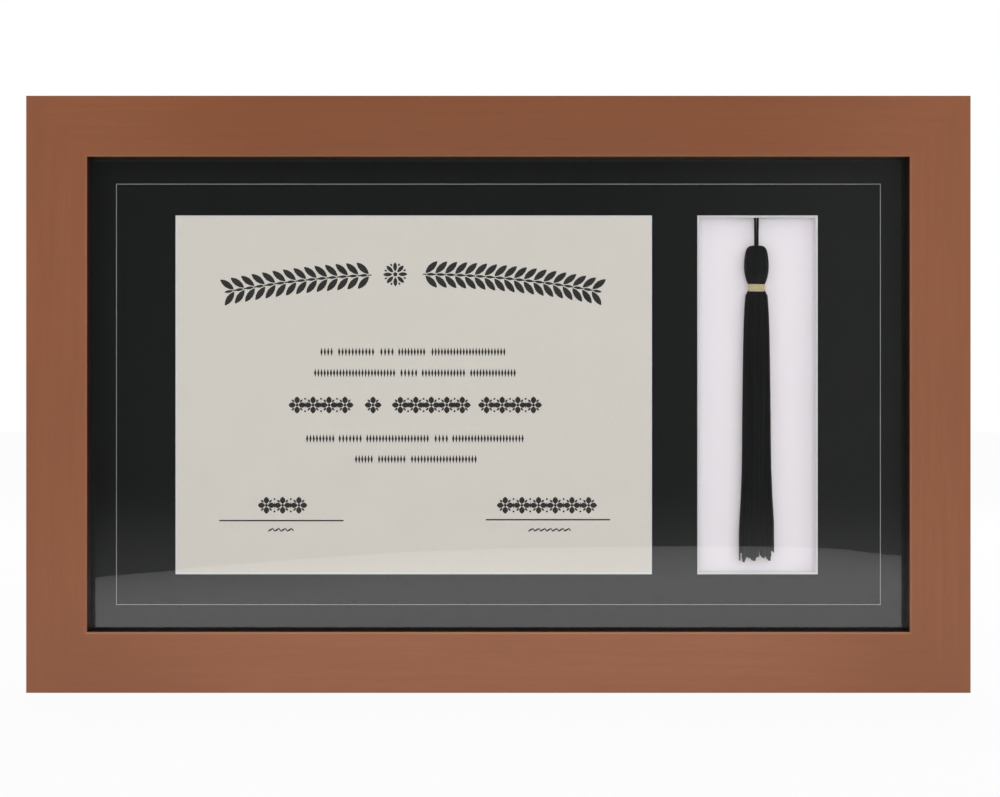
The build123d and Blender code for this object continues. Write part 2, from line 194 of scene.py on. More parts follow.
def end_strands(tree, lines, tone, sides, radius, material, thinning=1.0):
    """Close a geometry tree whose lines become round strands, each with its own tone."""
    marks = {"Geometry": lines, "Name": "tone", "Value": tone}
    toned = put(tree, "GeometryNodeStoreNamedAttribute", marks).outputs[0]
    section = put(tree, "GeometryNodeCurvePrimitiveCircle", {"Resolution": sides, "Radius": radius})
    tube = put(
        tree,
        "GeometryNodeCurveToMesh",
        {
            "Curve": toned,
            "Profile Curve": section.outputs["Curve"],
            "Scale": thinning,
            "Fill Caps": True,
        },
    )
    return end_growth(tree, tube.outputs["Mesh"], material)


def plain_mesh(thing):
    """A mesh of what an object comes to, with its modifiers."""
    depsgraph = bpy.context.evaluated_depsgraph_get()
    return bpy.data.meshes.new_from_object(thing.evaluated_get(depsgraph), depsgraph=depsgraph)


def grow(name, seed_data, tree, **values):
    """Run a geometry tree on a mesh or a curve and keep the result as a plain mesh."""
    seed = stand(name + "_seed", seed_data)
    modifier = seed.modifiers.new(name, "NODES")
    modifier.node_group = tree
    for item in tree.interface.items_tree:
        label = item.name.replace(" ", "_")
        if item.in_out == "INPUT" and label in values:
            modifier[item.identifier] = values[label]
    mesh = plain_mesh(seed)
    seed.modifiers.remove(modifier)
    bpy.data.objects.remove(seed)
    mesh.name = name
    return stand(name, mesh)


def route_spline(points):
    """The cord's line: one smooth open spline through its route."""
    curve = bpy.data.curves.new("cord_route", "CURVE")
    curve.dimensions = "3D"
    curve.resolution_u = 24
    spline = curve.splines.new("NURBS")
    spline.points.add(len(points) - 1)
    for point, (across, up) in zip(spline.points, points):
        point.co = (peg_x + across, peg_y, peg_z + up, 1)
    spline.order_u = 3
    spline.use_endpoint_u = True
    return curve


def points_along(curve):
    """Points of a curve's own line, as it is drawn without any thickness."""
    line = stand("line", curve)
    places = [tuple(vertex.co) for vertex in plain_mesh(line).vertices]
    bpy.data.objects.remove(line)
    return places


def yarn_finish(name, dark, light, **plain):
    """Spun yarn: each strand keeps its own tone, and the twist shows as a fine bump."""
    material, tree, shader = new_finish(name, **plain)
    tone = put(tree, "ShaderNodeAttribute", attribute_name="tone").outputs["Fac"]
    fuzz = noise(tree, own_place(tree), 2600.0)
    shade = sum_of(tree, "MULTIPLY_ADD", fuzz, 0.5, tone)
    paint = mixed(tree, sum_of(tree, "MULTIPLY", shade, 0.67), dark, light)
    rough = sum_of(tree, "MULTIPLY_ADD", fuzz, 0.25, 0.36)
    lead(tree, shader, paint, rough, fuzz, strength=0.5, depth=0.00005)
    return material


black_yarn = yarn_finish(
    "black_rayon_yarn", colour(7, 8, 8), colour(19, 21, 20), Specular_IOR_Level=0.25
)


def laid_cord_tree():
    """Yarn plies wound round the line that they follow."""
    tree, given = new_growth("laid_cord", Plies=3, Diameter=0.001, Lay=0.004, Step=0.0003)
    steps = {"Curve": given["Geometry"], "Length": given["Step"]}
    line = put(tree, "GeometryNodeResampleCurve", steps, mode="LENGTH").outputs["Curve"]
    copies = {"Geometry": line, "Amount": given["Plies"]}
    plies = put(tree, "GeometryNodeDuplicateElements", copies, domain="SPLINE").outputs
    along = put(tree, "GeometryNodeSplineParameter").outputs["Length"]
    share = sum_of(tree, "DIVIDE", plies["Duplicate Index"], given["Plies"])
    turns = sum_of(tree, "DIVIDE", along, given["Lay"])
    angle = sum_of(tree, "MULTIPLY", sum_of(tree, "ADD", turns, share), math.tau)

    # Three plies pressed into each other, so that they nearly fill the cord's own diameter
    ply_radius = sum_of(tree, "MULTIPLY", given["Diameter"], 0.345)
    offset = sum_of(tree, "MULTIPLY", given["Diameter"], 0.275)
    normal = put(tree, "GeometryNodeInputNormal").outputs["Normal"]
    tangent = put(tree, "GeometryNodeInputTangent").outputs["Tangent"]
    side = vector_of(tree, "CROSS_PRODUCT", tangent, normal)
    shift = [
        vector_of(tree, "SCALE", direction, sum_of(tree, "MULTIPLY", sum_of(tree, way, angle), offset))
        for way, direction in (("COSINE", normal), ("SINE", side))
    ]
    moved = {"Geometry": plies["Geometry"], "Offset": vector_of(tree, "ADD", *shift)}
    wound = put(tree, "GeometryNodeSetPosition", moved).outputs[0]
    return end_strands(tree, wound, share, sides=7, radius=ply_radius, material=black_yarn)


cord_line = route_spline(cord_route)
cord_path = points_along(cord_line)
tassel_cord = grow(
    "cord_laid", cord_line, laid_cord_tree(), Plies=cord_plies, Diameter=cord_diameter, Lay=cord_lay
)
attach(tassel_cord, "tassel")
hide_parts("tassel_cord")


# Tassel: a hank of black rayon yarn. The strands are turned down over the cord for the
# head, tied at the neck under a winding of gold thread, and hang below it as the skirt,
# cut off unevenly just above the foot of the window.
head_top, head_foot, band_foot, skirt_foot = 0.2520, 0.2302, 0.2255, 0.07165
head_width, skirt_width, tassel_depth = 0.0142, 0.0205, 0.0086
head_inset, skirt_inset, skirt_tuck = 0.0004, 0.0002, 0.001
fringe = 0.0073

# Shares of the width, depth and length down the strands, and of the fringe from left to right
head_form = {
    "wide": [
        (0, 0.12), (0.09, 0.42), (0.17, 0.62), (0.26, 0.80),
        (0.42, 0.95), (0.66, 1.0), (0.86, 0.87), (1, 0.66),
    ],
    "down": [
        (0, 0.0), (0.09, 0.005), (0.17, 0.025), (0.26, 0.09),
        (0.42, 0.28), (0.66, 0.58), (0.86, 0.84), (1, 1.0),
    ],
    "trim": [(0, 0), (1, 0)],
}
head_form["thick"] = head_form["wide"]
skirt_form = {
    "wide": [
        (0, 0.44), (0.012, 0.56), (0.03, 0.62), (0.08, 0.665), (0.14, 0.70), (0.30, 0.745),
        (0.47, 0.775), (0.64, 0.80), (0.72, 0.825), (0.81, 0.90), (0.885, 0.96), (1, 0.965),
    ],
    "thick": [(0, 0.72), (0.03, 0.84), (0.14, 0.94), (0.47, 0.97), (0.82, 0.97), (1, 0.97)],
    "down": [(0, 0), (1, 1)],
    "trim": [
        (0, 0.10), (0.016, 0.12), (0.044, 0.75), (0.086, 0.75), (0.116, 0.0), (0.128, 0.03),
        (0.208, 0.52), (0.242, 0.52), (0.274, 0.27), (0.302, 0.45), (0.328, 0.45), (0.368, 0.16),
        (0.431, 0.13), (0.468, 0.36), (0.534, 0.48), (0.572, 1.0), (0.612, 1.0), (0.638, 0.50),
        (0.695, 0.33), (0.721, 0.54), (0.752, 0.54), (0.852, 0.14), (0.901, 0.13), (0.913, 0.96),
        (0.953, 0.89), (0.984, 0.76), (1, 0.79),
    ],
}


def share_curve(tree, factor, points, bend="AUTO"):
    """A share read from a curve through a few points, smooth or in straight stretches."""
    node = put(tree, "ShaderNodeFloatCurve", {"Value": factor})
    line = node.mapping.curves[0]
    line.points[0].location = points[0]
    line.points[1].location = points[-1]
    for place in points[1:-1]:
        line.points.new(*place)
    for point in line.points:
        point.handle_type = bend
    node.mapping.update()
    return node.outputs[0]


def hank_tree(name, form):
    """Strands of yarn set in rounds about an upright axis, shaped by share curves."""
    tree, given = new_growth(
        name,
        Strands=60,
        Steps=12,
        Sides=6,
        Place=(0, 0, 0),
        Width=0.01,
        Depth=0.01,
        Length=0.1,
        Core=0.0,
        Strand_Radius=0.0004,
        Thin=0.7,
        Fringe=0.0,
        Sway=0.0,
        Gather=1.0,
        Seed=1,
    )
    rounds = put(tree, "GeometryNodePoints", {"Count": given["Strands"]}).outputs[0]
    index = put(tree, "GeometryNodeInputIndex").outputs[0]
    marks = {"Geometry": rounds, "Name": "strand", "Value": index}
    numbered = put(tree, "GeometryNodeStoreNamedAttribute", marks, data_type="INT").outputs[0]
    plain = put(tree, "GeometryNodeCurvePrimitiveLine").outputs[0]
    stepped = put(tree, "GeometryNodeResampleCurve", {"Curve": plain, "Count": given["Steps"]}).outputs[0]
    hung = put(tree, "GeometryNodeInstanceOnPoints", {"Points": numbered, "Instance": stepped})
    strands = put(tree, "GeometryNodeRealizeInstances", {"Geometry": hung.outputs[0]}).outputs[0]
    number = put(tree, "GeometryNodeInputNamedAttribute", {"Name": "strand"}, data_type="INT").outputs[0]
    step = put(tree, "GeometryNodeSplineParameter").outputs["Factor"]
    along = sum_of(tree, "POWER", step, given["Gather"])
    chance = {"ID": number, "Seed": given["Seed"]}
    luck = put(tree, "FunctionNodeRandomValue", chance, data_type="FLOAT").outputs[1]

    # Place in the rounds: an even spread of turns, from the core out to the surface
    turn = sum_of(tree, "MULTIPLY", number, math.pi * (3 - math.sqrt(5)))
    share = sum_of(tree, "DIVIDE", sum_of(tree, "ADD", number, 0.5), given["Strands"])
    outwards = {"Value": sum_of(tree, "SQRT", share), "To Min": given["Core"], "To Max": 1.0}
    reach = put(tree, "ShaderNodeMapRange", outwards).outputs[0]
    across = sum_of(tree, "MULTIPLY", sum_of(tree, "COSINE", turn), reach)
    behind = sum_of(tree, "MULTIPLY", sum_of(tree, "SINE", turn), reach)
    half_width = sum_of(tree, "MULTIPLY", given["Width"], 0.5)
    half_depth = sum_of(tree, "MULTIPLY", given["Depth"], 0.5)

    # Foot: the yarn is trimmed unevenly across the skirt, each strand a little its own way
    from_left = sum_of(tree, "MULTIPLY_ADD", across, 0.5, 0.5)
    trim = share_curve(tree, from_left, form["trim"], "VECTOR")
    raised = sum_of(tree, "MULTIPLY_ADD", luck, 0.06, trim)
    cut = sum_of(tree, "MULTIPLY", raised, given["Fringe"])
    hang = sum_of(tree, "SUBTRACT", given["Length"], cut)

    # Form: the share curves, then a slight sway of each strand
    wide = sum_of(tree, "MULTIPLY", share_curve(tree, along, form["wide"]), half_width)
    thick = sum_of(tree, "MULTIPLY", share_curve(tree, along, form["thick"]), half_depth)
    down = sum_of(tree, "MULTIPLY", share_curve(tree, along, form["down"]), hang)
    lag = put(tree, "ShaderNodeCombineXYZ", {0: number, 1: sum_of(tree, "MULTIPLY", along, 2.2)}).outputs[0]
    drift = put(tree, "ShaderNodeTexNoise", {"Vector": lag, "Scale": 1.0, "Detail": 1.0}).outputs["Color"]
    centred = vector_of(tree, "SUBTRACT", drift, (0.5, 0.5, 0.5))
    sway = vector_of(tree, "SCALE", centred, sum_of(tree, "MULTIPLY", given["Sway"], along))
    from_neck = {
        0: sum_of(tree, "MULTIPLY", across, wide),
        1: sum_of(tree, "MULTIPLY", behind, thick),
        2: sum_of(tree, "MULTIPLY", down, -1.0),
    }
    shaped = put(tree, "ShaderNodeCombineXYZ", from_neck).outputs[0]
    placed = vector_of(tree, "ADD", vector_of(tree, "ADD", shaped, sway), given["Place"])
    bent = put(tree, "GeometryNodeSetPosition", {"Geometry": strands, "Position": placed}).outputs[0]
    thinner = {"Value": along, "To Min": given["Thin"], "To Max": 1.0}
    thinning = put(tree, "ShaderNodeMapRange", thinner).outputs[0]
    return end_strands(tree, bent, luck, given["Sides"], given["Strand Radius"], black_yarn, thinning)


tassel_head = grow(
    "head_strands",
    bpy.data.meshes.new("head_seed"),
    hank_tree("head_hank", head_form),
    Strands=84,
    Steps=18,
    Sides=6,
    Place=(peg_x, peg_y, head_top - head_inset),
    Width=head_width - 2 * head_inset,
    Depth=tassel_depth - 2 * head_inset,
    Length=head_top - head_foot - head_inset / 2,
    Core=0.93,
    Strand_Radius=0.00042,
    Thin=0.8,
    Sway=0.0001,
    Seed=4,
)
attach(tassel_head, "tassel")
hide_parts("tassel_head")

tassel_skirt = grow(
    "skirt_strands",
    bpy.data.meshes.new("skirt_seed"),
    hank_tree("skirt_hank", skirt_form),
    Strands=300,
    Steps=14,
    Sides=4,
    Place=(peg_x, peg_y, band_foot + skirt_tuck),
    Width=skirt_width,
    Depth=tassel_depth - 2 * skirt_inset,
    Length=band_foot + skirt_tuck - skirt_foot,
    Core=0.0,
    Strand_Radius=0.00036,
    Thin=0.85,
    Fringe=fringe,
    Sway=0.0007,
    Gather=1.5,
    Seed=9,
)
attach(tassel_skirt, "tassel")
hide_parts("tassel_skirt")

gold_thread = yarn_finish("gold_thread", colour(196, 175, 129), colour(240, 227, 190), Metallic=0.4)


def winding_tree():
    """Thread wound side by side round an oval neck."""
    tree, given = new_growth(
        "winding", Place=(0, 0, 0), Turns=9.0, Width=0.01, Depth=0.01, Height=0.005, Thread_Radius=0.0003
    )
    half_width = sum_of(tree, "MULTIPLY", given["Width"], 0.5)
    spiral = {
        "Resolution": 40,
        "Rotations": given["Turns"],
        "Start Radius": half_width,
        "End Radius": half_width,
        "Height": given["Height"],
    }
    coil = put(tree, "GeometryNodeCurveSpiral", spiral).outputs[0]
    flat = sum_of(tree, "DIVIDE", given["Depth"], given["Width"])
    oval = put(tree, "ShaderNodeCombineXYZ", {0: 1.0, 1: flat, 2: 1.0}).outputs[0]
    moves = {"Geometry": coil, "Translation": given["Place"], "Scale": oval}
    placed = put(tree, "GeometryNodeTransform", moves).outputs[0]
    along = put(tree, "GeometryNodeSplineParameter").outputs["Factor"]
    change = put(tree, "ShaderNodeTexNoise", {"W": along, "Scale": 60.0}, noise_dimensions="1D")
    tone, radius = change.outputs["Fac"], given["Thread Radius"]
    return end_strands(tree, placed, tone, sides=8, radius=radius, material=gold_thread)


neck_width, neck_depth = 0.0097, 0.0069
thread_radius = 0.00029
tassel_band = grow(
    "band_winding",
    bpy.data.meshes.new("band_seed"),
    winding_tree(),
    Place=(peg_x, peg_y, band_foot + thread_radius),
    Turns=8.0,
    Width=neck_width - 2 * thread_radius,
    Depth=neck_depth - 2 * thread_radius,
    Height=head_foot - band_foot - 2 * thread_radius,
    Thread_Radius=thread_radius,
)
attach(tassel_band, "tassel")
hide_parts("tassel_band")


# Peg: a small headed stud of natural nylon, moulded in one piece and glued to the card
# above the window, behind the mat. The loop of the cord hangs in its groove.
def clouded_finish(name, scale, detail, dark, light, smoothest, **plain):
    """A plain finish, clouded between two colours and two degrees of polish."""
    material, tree, shader = new_finish(name, **plain)
    cloud = noise(tree, own_place(tree), scale, detail)
    rough = sum_of(tree, "MULTIPLY_ADD", cloud, 0.2, smoothest)
    lead(tree, shader, mixed(tree, cloud, dark, light), rough)
    return material


def dress(material, *names):
    """Give CAD nodes their finish."""
    for name in names:
        for place in nodes[name].material_slots:
            place.material = material


nylon = clouded_finish(
    "natural_nylon",
    scale=400.0,
    detail=3.0,
    dark=colour(214, 211, 200),
    light=colour(230, 228, 220),
    smoothest=0.35,
    Subsurface_Weight=0.2,
)
dress(nylon, "tassel_peg")


# Moulding: four rails of a close-grained hardwood, flat in front, mitred at the corners
# and given a brown stain under a satin lacquer. The stain was wiped on from the front, so the
# back is paler and dull. Painted light and shade are in the colour too: a painted highlight
# along the inner arris, painted shade on the inner wall and the top rail, and painted light
# on the foot rail.
sight_half_width, sight_half_height, middle_z = 0.2303, 0.13305, 0.16725
rail_front, rail_back = -0.01365, 0.01365
level_grain, upright_grain = (14, 320, 320), (320, 320, 14)
# Painted shade and painted light: the rails run darker towards the top and lighter towards the foot between
# these heights, evening out towards the sides between these widths
painted_shade_top, painted_light_foot = 0.29, 0.04
even_from, even_to = 0.12, 0.25
# How far the painted highlight along the sight edge reaches across the front and into the depth
highlight_start, highlight_end, highlight_deep = 0.0004, 0.0016, 0.0012
# How deep the painted shade on the inner wall fades in, and how far the back's tint reaches
wall_shade_fade, back_fade = 0.0022, 0.0015


def between(tree, value, low, high, low_to=0.0, high_to=1.0):
    """A smooth step from one share to another as a value goes from low to high."""
    ends = {"Value": value, "From Min": low, "From Max": high, "To Min": low_to, "To Max": high_to}
    return put(tree, "ShaderNodeMapRange", ends, interpolation_type="SMOOTHSTEP").outputs[0]


def shaded(tree, paint, shade):
    """A colour made darker or lighter by a share."""
    grey = put(tree, "ShaderNodeCombineXYZ", {0: shade, 1: shade, 2: shade}).outputs[0]
    return mixed(tree, 1.0, paint, grey, "MULTIPLY")


def past_sight(tree, x, z):
    """Distance outwards from the frame's sight edge, below zero inside it."""
    out_x = sum_of(tree, "SUBTRACT", sum_of(tree, "ABSOLUTE", x), sight_half_width)
    from_middle = sum_of(tree, "ABSOLUTE", sum_of(tree, "SUBTRACT", z, middle_z))
    return sum_of(tree, "MAXIMUM", out_x, sum_of(tree, "SUBTRACT", from_middle, sight_half_height))


def new_effect(name, **inputs):
    """A shader group with named inputs, which puts out a colour, a roughness and a height."""
    tree = bpy.data.node_groups.new(name, "ShaderNodeTree")
    add_inputs(tree, inputs)
    for label, kind in (("Colour", "Color"), ("Roughness", "Float"), ("Height", "Float")):
        tree.interface.new_socket(label, in_out="OUTPUT", socket_type="NodeSocket" + kind)
    return tree, tree.nodes.new("NodeGroupInput").outputs


def effect_finish(name, effect, values, strength, depth, **plain):
    """A finish that takes its colour, roughness and relief from an effect, with its own values."""
    material, tree, shader = new_finish(name, **plain)
    given = put(tree, "ShaderNodeGroup", values, node_tree=effect, name="effect").outputs
    lead(tree, shader, given["Colour"], given["Roughness"], given["Height"], strength, depth)
    return material


def stained_wood_effect():
    """Stained and lacquered wood, with its grain drawn out along the rail."""
    tree, given = new_effect("stained_wood", Stretch=(1, 1, 1), Worn=0.1, Bare=(0, 0, 0, 1))
    place = own_place(tree)
    x, y, z = put(tree, "ShaderNodeSeparateXYZ", {0: place}).outputs
    drawn = vector_of(tree, "MULTIPLY", place, given["Stretch"])
    figure = noise(tree, drawn, 1.0, 5.0, Roughness=0.55)
    pores = noise(tree, drawn, 7.0, 3.0)
    cloud = noise(tree, place, 9.0)

    # Grain darkens and lightens the stain a little
    shade = sum_of(tree, "MULTIPLY_ADD", figure, 0.22, 0.89)
    shade = sum_of(tree, "MULTIPLY_ADD", between(tree, pores, 0.52, 0.68), -0.07, shade)
    shade = sum_of(tree, "MULTIPLY_ADD", cloud, 0.08, sum_of(tree, "SUBTRACT", shade, 0.04))

    # Painted shade and painted light: darker along the top rail and lighter along the foot rail, evening
    # out at the corners
    low_down = between(tree, z, painted_shade_top, painted_light_foot, -0.5, 0.5)
    kept = between(tree, sum_of(tree, "ABSOLUTE", x), even_to, even_from)
    painted_light_share = sum_of(tree, "MULTIPLY_ADD", low_down, kept, 0.5)
    stain_and_painted_light = shaded(tree, mixed(tree, painted_light_share, colour(125, 73, 43), colour(142, 88, 60)), shade)

    # Painted highlight: a pale line on the front along the sight edge, where the light catches the eased
    # arris
    out = past_sight(tree, x, z)
    front = between(tree, y, rail_front + highlight_deep, rail_front + highlight_start)
    edge = sum_of(tree, "MULTIPLY", between(tree, out, highlight_end, highlight_start), front)
    edge_highlight = sum_of(tree, "MULTIPLY", edge, given["Worn"])
    highlighted = mixed(tree, edge_highlight, stain_and_painted_light, colour(205, 158, 126))

    # Painted shade: the inner wall is darkened almost to black, darker from the front face down to the
    # glass
    inside = sum_of(tree, "LESS_THAN", out, 0.0002)
    wall = sum_of(tree, "MULTIPLY", inside, between(tree, y, rail_front, rail_front + wall_shade_fade))
    wall_shaded = mixed(tree, sum_of(tree, "MULTIPLY", wall, 0.92), highlighted, colour(18, 9, 6))

    # The back is only tinted, in patches, and has no lacquer
    bare_share = between(tree, y, rail_back - back_fade, rail_back - 0.0001)
    patchy = sum_of(tree, "MULTIPLY", bare_share, sum_of(tree, "MULTIPLY_ADD", cloud, 0.5, 0.5))
    painted = mixed(tree, patchy, wall_shaded, shaded(tree, given["Bare"], shade))
    rough = sum_of(tree, "MULTIPLY_ADD", bare_share, 0.35, 0.34)
    rough = sum_of(tree, "MULTIPLY_ADD", pores, 0.12, sum_of(tree, "SUBTRACT", rough, 0.06))
    put(tree, "NodeGroupOutput", {"Colour": painted, "Roughness": rough, "Height": pores})
    return tree


stained_wood = stained_wood_effect()
# Each rail's weight of painted highlight, most on the foot rail, whose arris catches the light from above
for rail, grain, highlight_weight in (
    ("rail_top", level_grain, 0.05),
    ("rail_bottom", level_grain, 0.3),
    ("rail_left", upright_grain, 0.05),
    ("rail_right", upright_grain, 0.1),
):
    wood = effect_finish(
        "stained_" + rail,
        stained_wood,
        {"Stretch": grain, "Worn": highlight_weight, "Bare": colour(168, 126, 92)},
        strength=0.25,
        depth=0.00008,
        Specular_IOR_Level=0.4,
    )
    dress(wood, rail)


# Glazing: a 2 mm pane of clear picture glass with its edges seamed. Its face mirrors the
# room in front of it, and shadows pass through it. Its back stands 0.03 mm off the mat,
# which touches glass only at its fibres.
pane_half_width, pane_foot, pane_top = 0.2353, 0.0292, 0.3053
pane_front, pane_back, pane_seam = -0.00265, -0.00068, 0.00025


def blend_shaders(tree, share, first, second):
    """Two shaders mixed by a share."""
    return put(tree, "ShaderNodeMixShader", {0: share, 1: first, 2: second}).outputs[0]


picture_glass, pane_tree, pane_shader = new_finish(
    "picture_glass", Base_Color=(1, 1, 1, 1), Roughness=0.0, IOR=1.55, Transmission_Weight=1.0
)
pane_clear = put(pane_tree, "ShaderNodeBsdfTransparent", {"Color": (0.96, 0.97, 0.965, 1)}).outputs[0]
pane_rays = put(pane_tree, "ShaderNodeLightPath").outputs
pane_open = sum_of(pane_tree, "MAXIMUM", pane_rays["Is Shadow Ray"], pane_rays["Is Diffuse Ray"])
pane_whole = blend_shaders(pane_tree, pane_open, pane_shader.outputs[0], pane_clear)
pane_tree.links.new(pane_whole, pane_tree.nodes["Material Output"].inputs["Surface"])


def oblong(left, right, foot, top):
    """Corners of an upright oblong, as places to the right and up."""
    return [(left, foot), (right, foot), (right, top), (left, top)]


def closed_piece(name, shells):
    """A piece of closed shells, each skinned over rounds of corners and closed at both ends."""
    shape = bmesh.new()
    for shell in shells:
        rounds = [[shape.verts.new(place) for place in places] for places in shell]
        for end in (rounds[0], list(reversed(rounds[-1]))):
            if len(end) > 1:
                shape.faces.new(end)
        for first, second in zip(rounds, rounds[1:]):
            sides = max(len(first), len(second))
            for step in range(sides):
                ahead = (step + 1) % sides
                corners = [first[step % len(first)], second[step % len(second)]]
                corners += [second[ahead % len(second)], first[ahead % len(first)]]
                shape.faces.new(list(dict.fromkeys(corners)))
    bmesh.ops.recalc_face_normals(shape, faces=shape.faces)
    mesh = bpy.data.meshes.new(name)
    shape.to_mesh(mesh)
    shape.free()
    return stand(name, mesh)


pane_rounds = []
for inset, y in (
    (pane_seam, pane_front),
    (0.0, pane_front + pane_seam),
    (0.0, pane_back - pane_seam),
    (pane_seam, pane_back),
):
    half_width = pane_half_width - inset
    corners = oblong(-half_width, half_width, pane_foot + inset, pane_top - inset)
    pane_rounds.append([(x, y, z) for x, z in corners])
seamed_pane = closed_piece("seamed_pane", [pane_rounds])
seamed_pane.data.materials.append(picture_glass)
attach(seamed_pane, "frame")
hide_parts("glass_pane")


# Mat: 1.5 mm board with a black paper face and a white core, which shows where the
# windows are bevelled and where a fine V groove is ruled all round. The foam spacer, the
# certificate and the white card behind are paper too, so they share its fibre.
mat_face = -0.00065
mat_paper = 0.00013
groove_inset, groove_wide = 0.022, 0.004


def paper_effect():
    """Paper or board: faint fibres, slight clouding and a tooth in its surface."""
    tree, given = new_effect("paper", Paper=(1, 1, 1, 1), Cloud=0.04, Fibre=0.05)
    place = own_place(tree)
    cloud = noise(tree, place, 26.0, 3.0)
    tooth = noise(tree, place, 1500.0, 4.0)
    hair = noise(tree, vector_of(tree, "MULTIPLY", place, (300, 300, 1700)), 1.0, Distortion=1.6)
    fibre = between(tree, hair, 0.6, 0.72)
    shade = sum_of(tree, "MULTIPLY_ADD", cloud, given["Cloud"], 1.0)
    shade = sum_of(tree, "SUBTRACT", shade, sum_of(tree, "MULTIPLY", given["Cloud"], 0.5))
    shade = sum_of(tree, "SUBTRACT", shade, sum_of(tree, "MULTIPLY", fibre, given["Fibre"]))
    painted = shaded(tree, given["Paper"], shade)
    rough = sum_of(tree, "MULTIPLY_ADD", tooth, 0.2, 0.72)
    put(tree, "NodeGroupOutput", {"Colour": painted, "Roughness": rough, "Height": tooth})
    return tree


paper = paper_effect()


def paper_finish(name, paint, cloud, fibre, **plain):
    """One kind of paper, with its own colour."""
    sheet = {"Paper": paint, "Cloud": cloud, "Fibre": fibre}
    return effect_finish(name, paper, sheet, strength=0.3, depth=0.00003, **plain)


black_mat = paper_finish(
    "black_mat_board", colour(21, 23, 22), cloud=0.1, fibre=0.12, Specular_IOR_Level=0.25
)
mat_tree = black_mat.node_tree
mat_sheet = mat_tree.nodes["effect"].outputs
mat_x, mat_y, mat_z = put(mat_tree, "ShaderNodeSeparateXYZ", {0: own_place(mat_tree)}).outputs
core_share = sum_of(mat_tree, "GREATER_THAN", mat_y, mat_face + mat_paper)
core_colour = mixed(mat_tree, mat_sheet["Height"], colour(214, 213, 214), colour(228, 227, 228))

# Painted shade: the white core is darkened in the ruled groove, near the sight edge
beyond = past_sight(mat_tree, mat_x, mat_z)
groove_shade = between(mat_tree, beyond, -groove_inset, groove_wide - groove_inset)
core_colour = mixed(mat_tree, groove_shade, core_colour, colour(174, 173, 175))
mat_colour = mixed(mat_tree, core_share, mat_sheet["Colour"], core_colour)
mat_tree.links.new(mat_colour, mat_tree.nodes["Principled BSDF"].inputs["Base Color"])
dress(black_mat, "mat_board")
foam_board = paper_finish("white_foam_board", colour(243, 241, 242), cloud=0.03, fibre=0.03)
dress(foam_board, "spacer_board")
white_card = paper_finish("white_card", colour(241, 234, 240), cloud=0.03, fibre=0.03)
dress(white_card, "mount_card")


# Certificate: a letter-size sheet of heavy warm-white paper, printed in black with laurel
# on an arch, rows of quatrefoils and beading, waves and two rules. It lies flat between
# the mat and the foam spacer.
sheet_face = 0.00085
ink_height = 0.00005
pixel = 0.0005685
middle_column, middle_row = 500, 398.5

certificate_paper = paper_finish("certificate_paper", colour(211, 205, 198), cloud=0.05, fibre=0.05)
dress(certificate_paper, "certificate_sheet")
black_ink = clouded_finish(
    "black_ink",
    scale=900.0,
    detail=4.0,
    dark=colour(24, 23, 24),
    light=colour(58, 56, 56),
    smoothest=0.5,
    Specular_IOR_Level=0.3,
)


def on_sheet(column, row):
    """Place on the certificate of a column and a row of the photograph."""
    return eye_x + (column - middle_column) * pixel, eye_z - (row - middle_row) * pixel


def printed_shape(name, outlines):
    """Flat shapes of ink, each an outline of places to the right and up."""
    depths = (sheet_face - ink_height, sheet_face)
    return closed_piece(name, [[[(x, y, z) for x, z in outline] for y in depths] for outline in outlines])


def leaf(x, z, angle, length, width):
    """Outline of one pointed leaf that grows from a place at an angle."""
    points = []
    for step in range(12):
        turn = math.tau * step / 12
        along = (1 - math.cos(turn)) / 2
        swell = math.sin(turn) * abs(math.sin(math.pi * along)) ** 0.3 if 0 < along < 1 else 0
        across = swell * width / 2
        points.append(
            (
                x + length * along * math.cos(angle) - across * math.sin(angle),
                z + length * along * math.sin(angle) + across * math.cos(angle),
            )
        )
    return points


def ring_of(count, reach, length, width, first=0.0):
    """Leaves set round a centre."""
    angles = [first + math.tau * step / count for step in range(count)]
    return [
        leaf(reach * math.cos(angle), reach * math.sin(angle), angle, length, width) for angle in angles
    ]


def disc(x, z, radius, sides=12):
    """Outline of a small round spot."""
    turns = [math.tau * step / sides for step in range(sides)]
    return [(x + radius * math.cos(turn), z + radius * math.sin(turn)) for turn in turns]


def lozenge(x, z, width, height):
    """Outline of an upright lozenge."""
    return [(x - width / 2, z), (x, z - height / 2), (x + width / 2, z), (x, z + height / 2)]


def bar(x, z, width, height):
    """Outline of a level bar."""
    return oblong(x - width / 2, x + width / 2, z - height / 2, z + height / 2)


def set_at(tree, stops, thing, turn):
    """Copies of an object at points, each turned in the plane of the frame."""
    shape = put(tree, "GeometryNodeObjectInfo", {"Object": thing}).outputs["Geometry"]
    turned_by = put(tree, "ShaderNodeCombineXYZ", {1: turn}).outputs[0]
    copies = {"Points": stops, "Instance": shape, "Rotation": turned_by}
    return put(tree, "GeometryNodeInstanceOnPoints", copies).outputs[0]


def row_tree():
    """A printed motif repeated along lines and turned to follow them."""
    tree, given = new_growth("printed_row", Motif=None, Pitch=0.003)
    steps = {"Curve": given["Geometry"], "Length": given["Pitch"]}
    stops = put(tree, "GeometryNodeCurveToPoints", steps, mode="LENGTH").outputs
    ahead = put(tree, "ShaderNodeSeparateXYZ", {0: stops["Tangent"]}).outputs
    turn = sum_of(tree, "MULTIPLY", sum_of(tree, "ARCTAN2", ahead[2], ahead[0]), -1.0)
    row = set_at(tree, stops["Points"], given["Motif"], turn)
    return end_growth(tree, row, black_ink, smooth=False)


